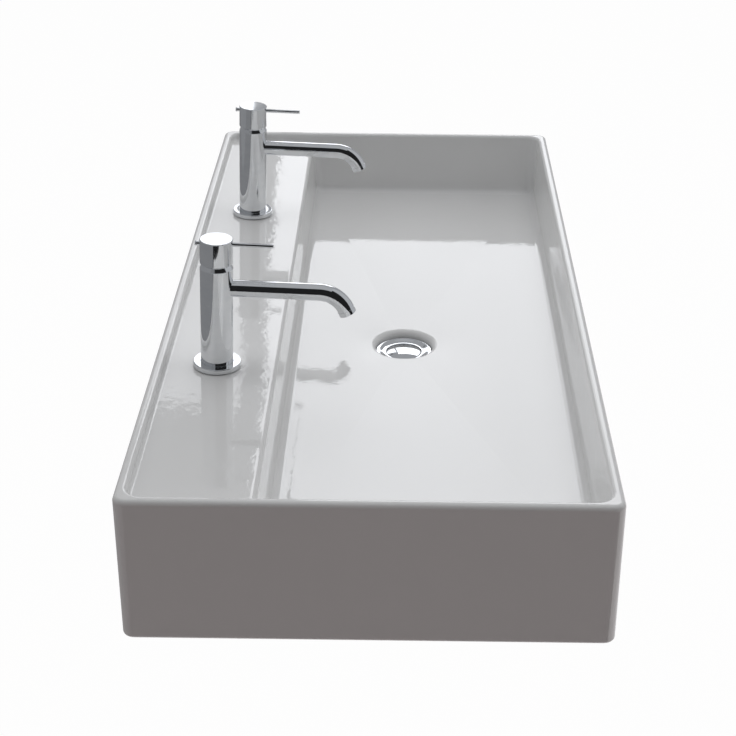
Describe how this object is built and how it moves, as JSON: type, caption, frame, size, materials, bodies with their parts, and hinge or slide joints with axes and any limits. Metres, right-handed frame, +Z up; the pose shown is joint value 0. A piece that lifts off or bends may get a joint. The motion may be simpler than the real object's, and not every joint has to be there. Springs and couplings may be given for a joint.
{
  "type": "trough sink",
  "caption": "Long wall-hung ceramic trough basin with a rear tap ledge, pin-lever mixer taps and a click-clack waste.",
  "frame": {"origin": "on the wall plane, midway between the two wall bolts", "axes": "+X along the basin, +Y into the wall, +Z up; the taps' spouts point to -Y"},
  "size_m": [1, 0.46, 0.3058],
  "materials": {
    "glaze": "glossy white glaze",
    "chrome": "polished chrome plate",
    "steel": "plain zinc-plated or stainless steel",
    "brass": "turned brass",
    "rubber": "black rubber",
    "white_plastic": "moulded off-white plastic"
  },
  "bodies": {
    "basin": {"basin": "glaze", "left_tap_base_seal": "rubber", "left_tap_base_flange": "chrome", "left_tap_body": "chrome", "left_tap_spout": "chrome", "left_tap_aerator": "white_plastic", "left_tap_cartridge": "white_plastic", "left_tap_cartridge_nut": "brass", "left_tap_neck_dome": "chrome", "left_tap_fixing_stud": "steel", "left_tap_horseshoe_gasket": "rubber", "left_tap_horseshoe_washer": "steel", "left_tap_fixing_nut": "brass", "right_tap_base_seal": "rubber", "right_tap_base_flange": "chrome", "right_tap_body": "chrome", "right_tap_spout": "chrome", "right_tap_aerator": "white_plastic", "right_tap_cartridge": "white_plastic", "right_tap_cartridge_nut": "brass", "right_tap_neck_dome": "chrome", "right_tap_fixing_stud": "steel", "right_tap_horseshoe_gasket": "rubber", "right_tap_horseshoe_washer": "steel", "right_tap_fixing_nut": "brass", "waste_body": "chrome", "waste_top_seal": "rubber", "waste_bottom_seal": "rubber", "waste_washer": "white_plastic", "waste_nut": "brass", "waste_spider": "steel"},
    "left_carrier": {"left_tap_carrier": "white_plastic", "left_tap_pivot_pin": "steel"},
    "left_handle": {"left_tap_spindle": "steel", "left_tap_handle_cap": "chrome", "left_tap_lever": "chrome", "left_tap_lever_end": "chrome", "left_tap_grub_screw": "steel"},
    "right_carrier": {"right_tap_carrier": "white_plastic", "right_tap_pivot_pin": "steel"},
    "right_handle": {"right_tap_spindle": "steel", "right_tap_handle_cap": "chrome", "right_tap_lever": "chrome", "right_tap_lever_end": "chrome", "right_tap_grub_screw": "steel"},
    "waste_plug": {"plug": "chrome", "plug_seal": "rubber", "plug_stem": "steel"}
  },
  "joints": [
    {"name": "left_handle_turn", "type": "hinge", "parent": "basin", "child": "left_carrier", "pos_m": [-0.2125, -0.064, 0.047], "axis": [0, -0.0349, 0.9994], "range_deg": [-45, 45]},
    {"name": "left_handle_lift", "type": "hinge", "parent": "left_carrier", "child": "left_handle", "pos_m": [-0.2125, -0.0677, 0.15293], "axis": [-1, 0, 0], "range_deg": [0, 15]},
    {"name": "right_handle_turn", "type": "hinge", "parent": "basin", "child": "right_carrier", "pos_m": [0.2125, -0.064, 0.047], "axis": [0, -0.0349, 0.9994], "range_deg": [-45, 45]},
    {"name": "right_handle_lift", "type": "hinge", "parent": "right_carrier", "child": "right_handle", "pos_m": [0.2125, -0.0677, 0.15293], "axis": [-1, 0, 0], "range_deg": [0, 15]},
    {"name": "plug_rise", "type": "slide", "parent": "basin", "child": "waste_plug", "axis": [0, 0, 1], "range_m": [0, 0.008]}
  ]
}
